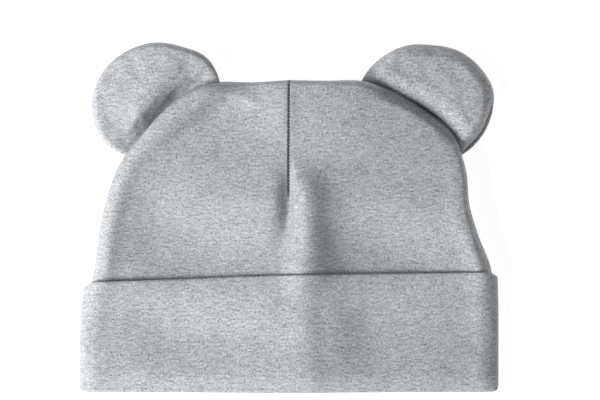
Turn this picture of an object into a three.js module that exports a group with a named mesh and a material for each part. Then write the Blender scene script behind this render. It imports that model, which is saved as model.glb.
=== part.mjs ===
// A baby's jersey hat with a turned-up cuff and two round ears, lying flat on its back.
// Millimetres. +X runs across the hat, +Y from the mouth to the top edge, +Z up from the table.
// The drawing starts at the middle of the bottom fold, and the finished hat is centred at the end.

import * as THREE from "three";
import { mergeVertices } from "three/addons/utils/BufferGeometryUtils.js";

// Sizes of the whole hat
const cuffWidth = 180.6; // across the flat cuff, fold to fold
const crownHeight = 134.3; // bottom fold to the top edge
const cuffHeight = 51; // how far the cuff is turned up
const seamHeight = 28; // inside, where the cuff is sewn to the crown
const crownWall = 2; // double jersey
const cuffWall = 2;
const clearance = 0.3; // between layers and between sewn pieces

// The form that the cloth takes as it lies
const mouthRoom = 9; // free height inside the mouth
const crownLoft = 18; // the crown's middle above the table
const sideFall = 0.36; // share of the height lost from the middle to the edge
const frontRounding = 7; // how far in from the edge the front turns down
const backRounding = 5.5;
const cuffEdgeHeight = 6.4; // the side fold above the table, within the cuff
const crownEdgeHeight = 5.4; // the same, and the seam, above the cuff
const swellStart = 1; // how far above the cuff's edge the crown starts to change its height
const frontRise = 5; // the length over which the front swells above the cuff
const backDrop = 10; // the length over which the back comes down to the table
const cuffEdgeRound = 0.6; // softening of the cuff's free edge
const backCuffShare = 0.98; // the cuff's height on the back, as a share of cuffHeight

// The closed dart down the middle of the front
const dartLength = 49;
const dartWidth = 2.4;
const dartDepth = 0.9;
const dartReach = 0.35; // how far its slopes reach, as a share of dartWidth
const dartEnd = 3; // the length over which it fades out, to either side of its lower end

// Ears
const earDiameter = 56;
const earThickness = 6.6;
const earSeamThickness = 1.6; // where the ear is caught in the crown's seam
const earRimThickness = 1.4;
const earSeamRounding = 9;
const earRimRounding = 5;
const hubShift = 0.4; // how far the ear's hub lies out from its middle, as a share of its radius
const seamReach = 0.6; // how far the seam holds the ear up off the table, as a share of its radius
const leftEarRise = 7.2; // how far an ear's middle stands out from the line between its seam's ends
const rightEarRise = 7.9;
const leftEarSlide = 2.3; // how far an ear's middle lies down along that line
const rightEarSlide = 4;
const crownRoll = 3.2; // how far the crown rolls out over the left ear's seam
const crownRollReach = 2; // how far in from the seam that roll is widest
const earRoll = 2.4; // how far the right ear's swell leans over its seam
const leftEarSwell = 2.2; // how far an ear swells up beside its seam
const rightEarSwell = 5;
const rightShoulder = 7.5; // the length over which the crown slopes down to the right ear's seam
const rightShoulderShare = 0.65; // how much of the edge's form is that slope, and not the rounding

const halfWidth = cuffWidth / 2 - cuffWall - clearance; // the crown's, inside the cuff

// The outline, from the bottom fold up each side to the middle of the top edge.
// Out is a share of halfWidth and up a share of crownHeight. Spine is the height, as a share of
// crownHeight, at which the line across the cloth from that place meets the middle.
const outline = [
  { leftOut: 1.0, leftUp: 0.0, rightOut: 1.0, rightUp: 0.0, spine: 0.0 },
  { leftOut: 1.0, leftUp: 0.1, rightOut: 1.0, rightUp: 0.1, spine: 0.1 },
  { leftOut: 0.998, leftUp: 0.2, rightOut: 1.0, rightUp: 0.2, spine: 0.2 },
  { leftOut: 0.985, leftUp: 0.3, rightOut: 0.999, rightUp: 0.3, spine: 0.3 },
  { leftOut: 0.953, leftUp: 0.4, rightOut: 0.988, rightUp: 0.4, spine: 0.4 },
  { leftOut: 0.935, leftUp: 0.5, rightOut: 0.929, rightUp: 0.5, spine: 0.5 },
  { leftOut: 0.904, leftUp: 0.6, rightOut: 0.884, rightUp: 0.6, spine: 0.6 },
  { leftOut: 0.857, leftUp: 0.695, rightOut: 0.871, rightUp: 0.695, spine: 0.675 },
  { leftOut: 0.802, leftUp: 0.762, rightOut: 0.847, rightUp: 0.758, spine: 0.71 },
  { leftOut: 0.712, leftUp: 0.821, rightOut: 0.812, rightUp: 0.826, spine: 0.735 },
  { leftOut: 0.622, leftUp: 0.879, rightOut: 0.74, rightUp: 0.884, spine: 0.757 },
  { leftOut: 0.531, leftUp: 0.931, rightOut: 0.632, rightUp: 0.934, spine: 0.776 },
  { leftOut: 0.436, leftUp: 0.972, rightOut: 0.503, rightUp: 0.97, spine: 0.79 },
  { leftOut: 0.336, leftUp: 0.994, rightOut: 0.352, rightUp: 0.998, spine: 0.802 },
  { leftOut: 0.17, leftUp: 0.993, rightOut: 0.176, rightUp: 0.998, spine: 0.813 },
  { leftOut: 0.0, leftUp: 1.0, rightOut: 0.0, rightUp: 1.0, spine: 0.82 },
];
const evenRowStep = 0.1; // the up shares of the rows within and near the cuff rise by this
const earSeamStart = 8; // rows between which an ear is caught in the seam
const earSeamEnd = 13;
const earSeamStep = 0.5; // the crown and the ear both have a facet for each step
const rollEnds = 0.7; // less makes a seam's roll fuller towards the seam's ends
const apex = outline.length - 1;

// The cuff's free edge on the front, left to right: across as a share of halfWidth, up of cuffHeight.
const cuffEdge = [
  { across: -1.03, up: 0.86 },
  { across: -0.97, up: 0.935 },
  { across: -0.6, up: 0.955 },
  { across: -0.2, up: 0.985 },
  { across: 0.1, up: 1.0 },
  { across: 0.6, up: 1.008 },
  { across: 0.97, up: 1.015 },
  { across: 1.03, up: 0.95 },
];

// Soft folds on the front, each along a line from one place to another. Places are shares of
// halfWidth and crownHeight, widths to either side shares of halfWidth, heights of crownLoft.
const folds = [
  // the pleat that starts where the dart ends, and runs down into the cuff
  { fromOut: 0.1, fromUp: 0.735, toOut: 0.085, toUp: 0.52, left: 0.075, right: 0.13, height: 0.16 },
  { fromOut: 0.08, fromUp: 0.54, toOut: 0.065, toUp: 0.33, left: 0.17, right: 0.15, height: 0.15 },
  { fromOut: 0.06, fromUp: 0.36, toOut: 0.06, toUp: 0.02, left: 0.6, right: 0.34, height: 0.09 },
  // the hollow beside the dart's end
  { fromOut: -0.015, fromUp: 0.69, toOut: -0.02, toUp: 0.55, left: 0.05, right: 0.045, height: -0.12 },
  // the roll beside the left ear and the dip behind it
  { fromOut: -0.72, fromUp: 0.75, toOut: -0.36, toUp: 0.935, left: 0.06, right: 0.06, height: 0.07 },
  { fromOut: -0.56, fromUp: 0.74, toOut: -0.26, toUp: 0.9, left: 0.1, right: 0.1, height: -0.07 },
];
const foldFade = 0.07; // a fold's end, as a share of crownHeight

// An ear's rings from its hub out to its border, with the form of its swell beside the seam:
// over is a share of earRoll, up of the ear's own swell.
const earRings = [
  { ring: 0.0, over: 0.0, up: 0.0 },
  { ring: 0.3, over: 0.0, up: 0.25 },
  { ring: 0.55, over: 0.05, up: 0.65 },
  { ring: 0.74, over: 0.4, up: 0.95 },
  { ring: 0.86, over: 0.85, up: 1.0 },
  { ring: 0.94, over: 0.9, up: 0.78 },
  { ring: 0.98, over: 0.2, up: 0.42 },
  { ring: 1.0, over: 0.0, up: 0.0 },
];

// The ears' free rims, in even turns from the seam's lower end to its upper end: how far the rim
// lies from the ear's middle, as a share of half of earDiameter. The misses at its two ends are
// spread over it with the power rimBlend, so that it meets the seam.
const earRims = [
  { left: 0.9, right: 0.87 },
  { left: 1.02, right: 0.91 },
  { left: 1.055, right: 0.965 },
  { left: 1.066, right: 1.036 },
  { left: 1.056, right: 1.026 },
  { left: 1.032, right: 1.022 },
  { left: 1.028, right: 1.008 },
  { left: 1.026, right: 1.068 },
  { left: 1.088, right: 1.12 },
  { left: 1.043, right: 1.17 },
];
const rimBlend = 6;
const rimSteps = 30;

const clamp01 = (v) => Math.min(1, Math.max(0, v));
const mix = (a, b, share) => a + (b - a) * share;

function smoothstep(from, to, value) {
  const t = clamp01((value - from) / (to - from));
  return t * t * (3 - 2 * t);
}

// A quarter round that rises from 0 at the edge to 1 at its radius.
function rounded(distance, radius) {
  const t = 1 - clamp01(distance / radius);
  return Math.sqrt(1 - t * t);
}

// A table column's value at a place between rows, on a curve through the rows.
function along(rows, column, place) {
  const last = rows.length - 1;
  const i = Math.min(Math.floor(place), last - 1);
  const f = place - i;
  const before = i > 0 ? rows[i - 1][column] : 2 * rows[0][column] - rows[1][column];
  const after = i + 2 <= last ? rows[i + 2][column] : 2 * rows[last][column] - rows[last - 1][column];
  const start = rows[i][column];
  const end = rows[i + 1][column];
  const square = 2 * before - 5 * start + 4 * end - after;
  const cube = 3 * start - before - 3 * end + after;
  return start + 0.5 * ((end - before) * f + square * f * f + cube * f * f * f);
}

// The height of the cuff's free edge at a place across the hat.
function cuffEdgeAt(x) {
  const across = x / halfWidth;
  const next = cuffEdge.findIndex((row) => row.across >= across);
  if (next < 0) return cuffEdge[cuffEdge.length - 1].up * cuffHeight;
  if (next === 0) return cuffEdge[0].up * cuffHeight;
  const [a, b] = [cuffEdge[next - 1], cuffEdge[next]];
  return mix(a.up, b.up, (across - a.across) / (b.across - a.across)) * cuffHeight;
}

// side is -1 on the left and 1 on the right.
function edgePoint(side, place) {
  const name = side < 0 ? "left" : "right";
  const out = along(outline, name + "Out", place) * halfWidth;
  return new THREE.Vector2(side * out, along(outline, name + "Up", place) * crownHeight);
}

function inward(side, place) {
  const step = 0.05;
  const ahead = edgePoint(side, Math.min(place + step, apex));
  const tangent = ahead.sub(edgePoint(side, Math.max(place - step, 0))).normalize();
  if (place > apex - step) tangent.y = 0;
  return new THREE.Vector2(-side * tangent.y, side * tangent.x).normalize();
}

// The height that the folds add to the front.
function relief(x, y) {
  let height = 0;
  for (const fold of folds) {
    const from = new THREE.Vector2(fold.fromOut * halfWidth, fold.fromUp * crownHeight);
    const line = new THREE.Vector2(fold.toOut * halfWidth, fold.toUp * crownHeight).sub(from);
    const length = line.length();
    line.divideScalar(length);
    const [dx, dy] = [x - from.x, y - from.y];
    const reach = dx * line.x + dy * line.y;
    const aside = dx * Math.abs(line.y) + dy * line.x * -Math.sign(line.y);
    const width = (aside < 0 ? fold.left : fold.right) * halfWidth;
    const fade = foldFade * crownHeight;
    const ends = smoothstep(-fade, fade, reach) * smoothstep(-fade, fade, length - reach);
    height += fold.height * crownLoft * ends * Math.exp(-((aside / width) ** 2));
  }
  const dart = smoothstep(-dartEnd, dartEnd, y - (crownHeight - dartLength));
  return height - dartDepth * dart * Math.exp(-((x / (dartReach * dartWidth)) ** 2));
}

// How much of a seam's roll there is at a place along the outline: all in the middle of the ear.
function atEar(place) {
  const share = clamp01((place - earSeamStart) / (earSeamEnd - earSeamStart));
  return Math.sin(Math.PI * share) ** rollEnds;
}

const edgeSteps = [0, 0.7, 1.8, 3.4, 5.4, 8.5, 13]; // from the outline
const middleSteps = [0.28, 0.57, 0.84]; // shares of what is left
const dartSteps = [dartWidth, dartWidth / 2, 0]; // from the middle

// One line of the crown's skin, from the outline to the middle, on the front or the back.
function skinLine(side, place, front) {
  const edge = edgePoint(side, place);
  const middle = new THREE.Vector2(0, along(outline, "spine", place) * crownHeight);
  const across = middle.clone().sub(edge);
  const length = across.length();
  const squareness = across.dot(inward(side, place)) / length;
  const left = length - edgeSteps[edgeSteps.length - 1] - dartSteps[0];
  const runs = [
    ...edgeSteps,
    ...middleSteps.map((share) => edgeSteps[edgeSteps.length - 1] + share * left),
    ...dartSteps.map((step) => length - step),
  ];
  const outward = inward(side, place).negate();
  return runs.map((run) => {
    const at = edge.clone().addScaledVector(across, run / length);
    const inFromEdge = run * squareness;
    const aboveCuff = at.y - Math.max(cuffHeight, cuffEdgeAt(at.x));
    const freed = smoothstep(swellStart, swellStart + backDrop, aboveCuff);
    const edgeZ = mix(cuffEdgeHeight, crownEdgeHeight, freed);
    if (!front) {
      const raised = (cuffWall + clearance) * (1 - freed);
      const z = mix(edgeZ, raised, rounded(inFromEdge, backRounding));
      return new THREE.Vector3(at.x, at.y, z);
    }
    const level = mix(
      cuffWall + clearance + 2 * crownWall + mouthRoom,
      crownLoft,
      smoothstep(swellStart, swellStart + frontRise, aboveCuff),
    );
    const dome = level * (1 - sideFall * (1 - run / length) ** 2);
    const top = dome + relief(at.x, at.y);
    const shoulder = side > 0 ? rightShoulderShare * atEar(place) : 0;
    const slope = smoothstep(0, rightShoulder, inFromEdge);
    const z = mix(edgeZ, top, mix(rounded(inFromEdge, frontRounding), slope, shoulder));
    const reach = inFromEdge / crownRollReach;
    const roll = side < 0 ? crownRoll * atEar(place) * (reach * Math.exp(1 - reach)) ** 2 : 0;
    return new THREE.Vector3(at.x + outward.x * roll, at.y + outward.y * roll, z);
  });
}

function geometryOf(triangles) {
  const positions = new Float32Array(triangles.flat().flatMap((v) => [v.x, v.y, v.z]));
  const loose = new THREE.BufferGeometry();
  loose.setAttribute("position", new THREE.BufferAttribute(positions, 3));
  return mergeVertices(loose, 1e-4);
}

// Faces between two lines of points, seen anticlockwise from outside when turned is false.
function strip(triangles, lineA, lineB, turned) {
  for (let i = 0; i + 1 < lineA.length; i++) {
    const corners = [lineA[i], lineB[i], lineB[i + 1], lineA[i + 1]];
    if (turned) corners.reverse();
    triangles.push([corners[0], corners[1], corners[2]], [corners[0], corners[2], corners[3]]);
  }
}

// Gives an open skin a wall on its inner side, with a flat rim round the mouth.
function withWall(skin, wall, mouthAt) {
  skin.computeVertexNormals();
  const outer = skin.attributes.position;
  const normals = skin.attributes.normal;
  const index = skin.index.array;
  const point = (i) => new THREE.Vector3().fromBufferAttribute(outer, i);
  const inner = (i) => {
    const normal = new THREE.Vector3().fromBufferAttribute(normals, i);
    if (Math.abs(outer.getY(i) - mouthAt) < 1e-3) normal.setY(0).normalize();
    return point(i).addScaledVector(normal, -wall);
  };
  const edges = new Map();
  const triangles = [];
  for (let i = 0; i < index.length; i += 3) {
    const [a, b, c] = index.slice(i, i + 3);
    triangles.push([point(a), point(b), point(c)], [inner(c), inner(b), inner(a)]);
    for (const [from, to] of [[a, b], [b, c], [c, a]]) {
      if (!edges.delete(to + "," + from)) edges.set(from + "," + to, [from, to]);
    }
  }
  for (const [from, to] of edges.values()) {
    triangles.push([point(to), point(from), inner(from)], [point(to), inner(from), inner(to)]);
  }
  return geometryOf(triangles);
}

// The crown: one hollow pocket of double jersey, open at the seam inside the cuff.
function crownGeometry() {
  const firstPlace = (seamHeight + clearance / 2) / (evenRowStep * crownHeight);
  const cuffPlace = cuffHeight / (evenRowStep * crownHeight);
  const underCuff = [0, 0.3, 0.52, 0.7, 0.86].map((share) => mix(firstPlace, cuffPlace, share));
  const aboveCuff = [0.02, 0.14, 0.26, 0.4, 0.6, 0.85].map((step) => cuffPlace + step);
  const places = [...underCuff, ...aboveCuff];
  for (let place = Math.ceil(cuffPlace + 1); place < earSeamStart; place++) places.push(place);
  for (let place = earSeamStart; place <= earSeamEnd; place += earSeamStep) places.push(place);
  places.push(apex - 1, apex - 0.6, apex - 0.2, apex - 0.09, apex);
  const triangles = [];
  for (const front of [true, false]) {
    for (const side of [-1, 1]) {
      const lines = places.map((place) => skinLine(side, place, front));
      for (let j = 0; j + 1 < lines.length; j++) {
        strip(triangles, lines[j], lines[j + 1], front === side < 0);
      }
    }
  }
  return withWall(geometryOf(triangles), crownWall, seamHeight + clearance / 2);
}

// The closed loop of the crown's outer skin at one height within the cuff, with its outward normals.
function skinLoop(place) {
  const half = (side, front) => skinLine(side, place, front);
  const loop = [
    ...half(-1, true),
    ...half(1, true).reverse().slice(1),
    ...half(1, false).slice(1),
    ...half(-1, false).reverse().slice(1, -1),
  ];
  return loop.map((at, i) => {
    const ahead = loop[(i + 1) % loop.length];
    const behind = loop[(i + loop.length - 1) % loop.length];
    const tangent = ahead.clone().sub(behind);
    const normal = new THREE.Vector3(-tangent.z, 0, tangent.x).normalize();
    return { at, normal };
  });
}

// The cuff: a band sewn to the crown inside, folded at the bottom and turned up round the outside.
function cuffGeometry() {
  const foldRadius = clearance / 2 + cuffWall;
  const rowHeight = evenRowStep * crownHeight;
  const bare = skinLoop(0);
  const upShares = [1, 0.975, 0.9, 0.8, 0.68, 0.5, 0.25, 0];
  const foldTurns = [0.22, 0.5, 0.78].map((turn) => turn * Math.PI);
  const sewnEdge = seamHeight - clearance / 2;
  const rows = [
    ...upShares.map((share) => ({ turn: 0, share })),
    ...foldTurns.map((turn) => ({ turn, share: 0 })),
    ...[0, 0.5, 1].map((inside) => ({ turn: Math.PI, inside })),
  ];
  const heightOf = (row, column) => {
    if (row.inside !== undefined) return mix(foldRadius, sewnEdge, row.inside);
    const onBack = column > bare.length / 2;
    const top = onBack ? cuffHeight * backCuffShare : cuffEdgeAt(bare[column].at.x);
    return mix(foldRadius, top, row.share);
  };
  const cuffPoint = (row, column, radius) => {
    const height = heightOf(row, column);
    const { at, normal } = skinLoop(height / rowHeight)[column];
    const out = clearance / 2 + Math.cos(row.turn) * radius;
    const down = Math.sin(row.turn) * radius;
    return new THREE.Vector3(at.x + normal.x * out, height - down, at.z + normal.z * out);
  };
  const columns = [...bare.keys(), 0];
  const faceLines = (radiusOf) =>
    rows.map((row, k) => {
      const line = columns.slice(0, -1).map((column) => cuffPoint(row, column, radiusOf(k)));
      return [...line, line[0]];
    });
  const outer = faceLines((k) => foldRadius - (k === 0 ? cuffEdgeRound : 0));
  const inner = faceLines(() => clearance / 2);
  const triangles = [];
  for (let k = 0; k + 1 < rows.length; k++) {
    strip(triangles, outer[k], outer[k + 1], false);
    strip(triangles, inner[k], inner[k + 1], true);
  }
  strip(triangles, outer[0], inner[0], true);
  strip(triangles, outer[rows.length - 1], inner[rows.length - 1], false);
  return geometryOf(triangles);
}

// One ear: two layers sewn round the rim, turned and caught in the crown's seam along its base.
// rise is how far its middle stands out from the seam, slide how far down along it.
function earGeometry({ side, rise, slide, lean, swell }) {
  const radius = earDiameter / 2;
  const seam = [];
  for (let place = earSeamStart; place <= earSeamEnd; place += earSeamStep) {
    const out = inward(side, place).multiplyScalar(-clearance);
    seam.push({ at: edgePoint(side, place).add(out), roll: atEar(place), base: 1 });
  }
  const low = seam[0].at;
  const high = seam[seam.length - 1].at;
  const chord = high.clone().sub(low).normalize();
  const outward = new THREE.Vector2(side * chord.y, -side * chord.x);
  const centre = low.clone().add(high).multiplyScalar(0.5);
  centre.addScaledVector(outward, rise).addScaledVector(chord, -slide);

  // the free rim, which meets the seam's two ends
  const polar = (p) => ({ angle: Math.atan2(p.y - centre.y, p.x - centre.x), far: p.distanceTo(centre) });
  const [lowEnd, highEnd] = [polar(low), polar(high)];
  const sweep = THREE.MathUtils.euclideanModulo(side * (highEnd.angle - lowEnd.angle), 2 * Math.PI);
  const column = side < 0 ? "left" : "right";
  const lastRow = earRims.length - 1;
  const rim = [];
  for (let i = 1; i < rimSteps; i++) {
    const share = i / rimSteps;
    const angle = lowEnd.angle + side * share * sweep;
    const lowMiss = (lowEnd.far - earRims[0][column] * radius) * (1 - share) ** rimBlend;
    const highMiss = (highEnd.far - earRims[lastRow][column] * radius) * share ** rimBlend;
    const far = along(earRims, column, share * lastRow) * radius + lowMiss + highMiss;
    const at = new THREE.Vector2(Math.cos(angle), Math.sin(angle)).multiplyScalar(far).add(centre);
    rim.push({ at, roll: 0, base: 0 });
  }
  const border = [...seam, ...rim.reverse()];

  const hub = centre.clone().addScaledVector(outward, hubShift * radius);
  const ringLines = (top) =>
    earRings.map(({ ring, over, up }) => {
      const line = border.map((place) => {
        const at = hub.clone().lerp(place.at, ring);
        const fromSeam = Math.max(0, at.clone().sub(low).dot(outward));
        const fromEdge = (1 - ring) * place.at.distanceTo(hub);
        const rounding = place.base ? earSeamRounding : earRimRounding;
        const thin = place.base ? earSeamThickness : earRimThickness;
        const thickness = mix(thin, earThickness, rounded(fromEdge, rounding));
        const lying = thickness / 2;
        const seamShare = 1 - smoothstep(0, seamReach * radius, fromSeam);
        const middleZ = mix(lying, Math.max(lying, crownEdgeHeight), seamShare);
        const z = middleZ + (top ? 0.5 : -0.5) * thickness;
        const roll = top ? place.roll : 0;
        at.addScaledVector(outward, -lean * over * roll);
        return new THREE.Vector3(at.x, at.y, z + swell * up * roll);
      });
      return [...line, line[0]];
    });
  const triangles = [];
  for (const top of [true, false]) {
    const lines = ringLines(top);
    for (let k = 0; k + 1 < lines.length; k++) {
      strip(triangles, lines[k], lines[k + 1], top === side > 0);
    }
  }
  const edgeTop = ringLines(true).pop();
  const edgeBottom = ringLines(false).pop();
  strip(triangles, edgeTop, edgeBottom, side > 0);
  return geometryOf(triangles.filter(([a, b, c]) => new THREE.Triangle(a, b, c).getArea() > 1e-9));
}

const jersey = { color: 0xb4b8bb, roughness: 0.95, metalness: 0 };

function piece(name, geometry, look = jersey) {
  const mesh = new THREE.Mesh(geometry, new THREE.MeshStandardMaterial(look));
  mesh.name = name;
  return mesh;
}

const leftEar = { side: -1, rise: leftEarRise, slide: leftEarSlide, lean: 0, swell: leftEarSwell };
const rightEar = { side: 1, rise: rightEarRise, slide: rightEarSlide, lean: earRoll, swell: rightEarSwell };

const drawn = new THREE.Group();
drawn.add(
  piece("crown", crownGeometry()),
  piece("cuff", cuffGeometry()),
  piece("ear_left", earGeometry(leftEar)),
  piece("ear_right", earGeometry(rightEar)),
);

const bounds = new THREE.Box3().setFromObject(drawn);
const middle = bounds.getCenter(new THREE.Vector3());
drawn.position.set(-middle.x, -middle.y, -bounds.min.z);

const hat = new THREE.Group();
hat.add(drawn);

export default hat;
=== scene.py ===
# A baby's grey jersey hat with a turned-up cuff and two round ears, lying flat on its back.
# Metres. +X runs across the hat, +Y from the mouth to the top edge, +Z up from the table.

import math

import bmesh
import bpy
import numpy as np
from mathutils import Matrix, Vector
from mathutils.kdtree import KDTree


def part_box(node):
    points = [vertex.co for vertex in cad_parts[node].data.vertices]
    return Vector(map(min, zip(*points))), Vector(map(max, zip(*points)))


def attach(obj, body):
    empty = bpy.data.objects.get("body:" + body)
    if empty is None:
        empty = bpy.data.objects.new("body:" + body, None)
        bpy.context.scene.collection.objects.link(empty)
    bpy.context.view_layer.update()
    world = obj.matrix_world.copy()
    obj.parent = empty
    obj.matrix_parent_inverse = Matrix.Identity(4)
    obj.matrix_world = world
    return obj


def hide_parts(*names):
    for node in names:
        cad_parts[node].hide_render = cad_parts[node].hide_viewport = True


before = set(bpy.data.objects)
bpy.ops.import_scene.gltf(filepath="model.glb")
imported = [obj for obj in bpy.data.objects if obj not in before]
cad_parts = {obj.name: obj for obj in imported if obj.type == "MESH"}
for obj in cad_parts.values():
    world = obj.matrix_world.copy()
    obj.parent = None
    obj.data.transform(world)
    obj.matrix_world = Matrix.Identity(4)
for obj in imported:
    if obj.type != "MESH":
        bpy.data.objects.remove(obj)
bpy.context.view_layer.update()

mm = 0.001

# The form of the cloth, shared by the pieces. Heights are above the table.
cloth = {
    "wall": 2.0 * mm,
    "clearance": 0.3 * mm,
    "seamHeight": 28 * mm,
    "cuffHeight": 51 * mm,
    "mouthRoom": 9 * mm,  # how far apart the crown's front and back lie inside the cuff
    "crownLoft": 18 * mm,
    "fallPower": 1.3,  # 1 would be a tent, 2 a dome
    "rollPlace": 5.2 * mm,  # how far in from the outline the cloth's rolled edge is highest
    "rollWidth": 4.6 * mm,
    "frontRounding": 7 * mm,
    "backRounding": 5.5 * mm,
    "cuffEdgeHeight": 6.4 * mm,
    "crownEdgeHeight": 5.4 * mm,
    "swellStart": 1 * mm,  # how far above the cuff's edge the crown starts to change its height
    "frontRise": 14 * mm,  # over what stretch from there the front comes to its loft
    "backDrop": 10 * mm,  # and the back sinks to the table
    "crownRoll": 3.2 * mm,  # how far the crown rolls out over the left ear's seam
    "crownRollReach": 2 * mm,  # how far in it rolls out the furthest
    "rollEnds": 0.7,  # less makes a seam's roll fuller towards the seam's ends
    "rightShoulder": 7 * mm,  # how far in the front slopes down to the right ear's seam
    "rightShoulderShare": 0.85,
    "leftDrop": 3 * mm,  # how much lower the seam lies at each ear
    "rightDrop": 2.4 * mm,
    "shoulderEnds": 3,  # more makes the right shoulder shorter
}
cuffLow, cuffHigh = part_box("cuff")
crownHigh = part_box("crown")[1]
mouthY = cuffLow.y  # the drawing's own zero, at the bottom fold
crownHeight = crownHigh.y - mouthY
halfWidth = (cuffHigh.x - cuffLow.x) / 2 - cloth["wall"] - cloth["clearance"]

# The outline from the bottom fold up each side to the middle of the top edge, as shares of
# halfWidth and crownHeight, and where the line across the cloth from there meets the middle.
outline = {
    "leftOut": [1, 1, 0.998, 0.985, 0.953, 0.935, 0.904, 0.857,
                0.802, 0.712, 0.622, 0.531, 0.436, 0.336, 0.17, 0],
    "leftUp": [0, 0.1, 0.2, 0.3, 0.4, 0.5, 0.6, 0.695,
               0.762, 0.821, 0.879, 0.931, 0.972, 0.994, 0.993, 1],
    "rightOut": [1, 1, 1, 0.999, 0.988, 0.929, 0.884, 0.871,
                 0.847, 0.812, 0.74, 0.632, 0.503, 0.352, 0.176, 0],
    "rightUp": [0, 0.1, 0.2, 0.3, 0.4, 0.5, 0.6, 0.695,
                0.758, 0.826, 0.884, 0.934, 0.97, 0.998, 0.998, 1],
    "spine": [0, 0.1, 0.2, 0.3, 0.4, 0.5, 0.6, 0.675,
              0.71, 0.735, 0.757, 0.776, 0.79, 0.802, 0.813, 0.82],
    # the front's height in the middle, as a share of crownLoft
    "loft": [0.86] * 7 + [0.84, 0.81, 0.79, 0.78] + [0.77] * 5,
    # how wide the front's rounding to the outline is, as a share of frontRounding
    "leftTurn": [0.8, 0.8, 0.8, 0.85, 0.95, 1, 1, 1,
                 0.9, 0.7, 0.55, 0.55, 0.5, 0.4, 0.28, 0.26],
    "rightTurn": [1, 1, 1, 1, 0.75, 0.5, 0.4, 0.36,
                  0.4, 0.5, 0.6, 0.6, 0.55, 0.4, 0.28, 0.26],
    # how much lower the front lies at the sides than in the middle
    "sideFall": [0.32, 0.32, 0.32, 0.3, 0.2, 0.14, 0.14, 0.12,
                 0.1, 0.1, 0.08, 0.06, 0.05, 0.04, 0.02, 0],
    # the rolled edge's height on the front, as a share of crownLoft
    "leftRoll": [0.02, 0.02, 0.03, 0.05, 0.1, 0.1, 0.09, 0.1,
                 0.13, 0.18, 0.21, 0.24, 0.24, 0.14, 0.02, 0],
    "rightRoll": [0.02, 0.02, 0.03, 0.06, 0.12, 0.09, 0.04, 0.03, 0.01] + [0] * 7,
}
apex = len(outline["spine"]) - 1
evenRow = 0.1  # the share of crownHeight between the rows near the cuff
earPlaces = (8, 13)  # rows between which an ear is caught in the seam

# Soft folds on the front: from and to a place, widths to the left and right, height.
# Places are shares of halfWidth and crownHeight, widths of halfWidth, heights of crownLoft.
# A fold's ends run out over foldFade, or its own fade, as a share of crownHeight.
folds = [
    # the pleat that starts where the dart ends and runs down into the cuff
    {"from": (0.087, 0.68), "to": (0.09, 0.5), "widths": (0.07, 0.095), "height": 0.28},
    {"from": (0.09, 0.52), "to": (0.075, 0.35), "widths": (0.085, 0.115), "height": 0.336},
    {"from": (0.06, 0.38), "to": (0.06, 0.02), "widths": (0.36, 0.24), "height": 0.156},
    {"from": (0.065, 0.36), "to": (0.1, 0.02), "widths": (0.07, 0.06), "height": 0.06},
    # the broad rise along the dart
    {"from": (0.02, 1.06), "to": (0.02, 0.54), "widths": (0.45, 0.5), "height": 0.17},
    # the hollow beside the dart's end
    {"from": (0.01, 0.69), "to": (0.004, 0.53), "widths": (0.046, 0.013), "height": -0.32},
    {"from": (0.0, 0.56), "to": (-0.03, 0.49), "widths": (0.05, 0.03), "height": -0.14},
    # the dips behind the left ear's roll
    {"from": (-0.42, 0.82), "to": (-0.2, 0.96), "widths": (0.12, 0.34), "height": -0.19, "fade": 0.2},
    {"from": (-0.34, 0.89), "to": (-0.22, 1.02), "widths": (0.08, 0.34), "height": -0.1, "fade": 0.2},
    # the rises on either side of the dart's top
    {"from": (-0.03, 0.99), "to": (-0.045, 0.86), "widths": (0.1, 0.06), "height": 0.084},
    {"from": (0.3, 1.02), "to": (0.24, 0.8), "widths": (0.24, 0.36), "height": 0.08},
    # the crown's broad dips to the left
    {"from": (-0.7, 0.67), "to": (-0.6, 0.58), "widths": (0.12, 0.2), "height": -0.108},
    {"from": (-0.43, 0.56), "to": (-0.41, 0.4), "widths": (0.3, 0.3), "height": -0.204},
    {"from": (-0.62, 0.58), "to": (-0.62, 0.36), "widths": (0.14, 0.34), "height": -0.12},
    # the crown's broad dips and rise to the right
    {"from": (0.34, 0.66), "to": (0.38, 0.42), "widths": (0.13, 0.26), "height": -0.03},
    {"from": (0.55, 0.55), "to": (0.52, 0.4), "widths": (0.32, 0.26), "height": -0.192},
    {"from": (0.74, 0.74), "to": (0.84, 0.46), "widths": (0.42, 0.16), "height": 0.14, "fade": 0.2},
    # the cuff's dips
    {"from": (-0.56, 0.26), "to": (-0.58, 0.12), "widths": (0.22, 0.6), "height": -0.2},
    {"from": (0.4, 0.3), "to": (0.44, 0.06), "widths": (0.16, 0.2), "height": -0.048},
    {"from": (0.3, 0.2), "to": (0.98, 0.21), "widths": (0.14, 0.14), "height": -0.1},
]
foldFade = 0.07


def smoothstep(low, high, value):
    t = np.clip((value - low) / (high - low), 0, 1)
    return t * t * (3 - 2 * t)


def mix(a, b, share):
    return a + (b - a) * share


def bell(distance, width):
    return np.exp(-((distance / width) ** 2))


def rounded(distance, radius):
    # a quarter round that rises from 0 at the edge to 1 at its radius
    t = 1 - np.clip(distance / radius, 0, 1)
    return np.sqrt(1 - t * t)


def along(column, place):
    # a column's value between its rows, on a curve through them
    rows = np.asarray(column, float)
    padded = np.concatenate([[2 * rows[0] - rows[1]], rows, [2 * rows[-1] - rows[-2]]])
    place = np.asarray(place, float)
    i = np.clip(np.floor(place).astype(int), 0, len(rows) - 2)
    f = place - i
    before, start, end, after = padded[i], padded[i + 1], padded[i + 2], padded[i + 3]
    square = 2 * before - 5 * start + 4 * end - after
    cube = 3 * start - before - 3 * end + after
    return start + 0.5 * ((end - before) * f + square * f**2 + cube * f**3)


def unit(v):
    return v / np.maximum(np.linalg.norm(v, axis=-1, keepdims=True), 1e-12)


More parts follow.
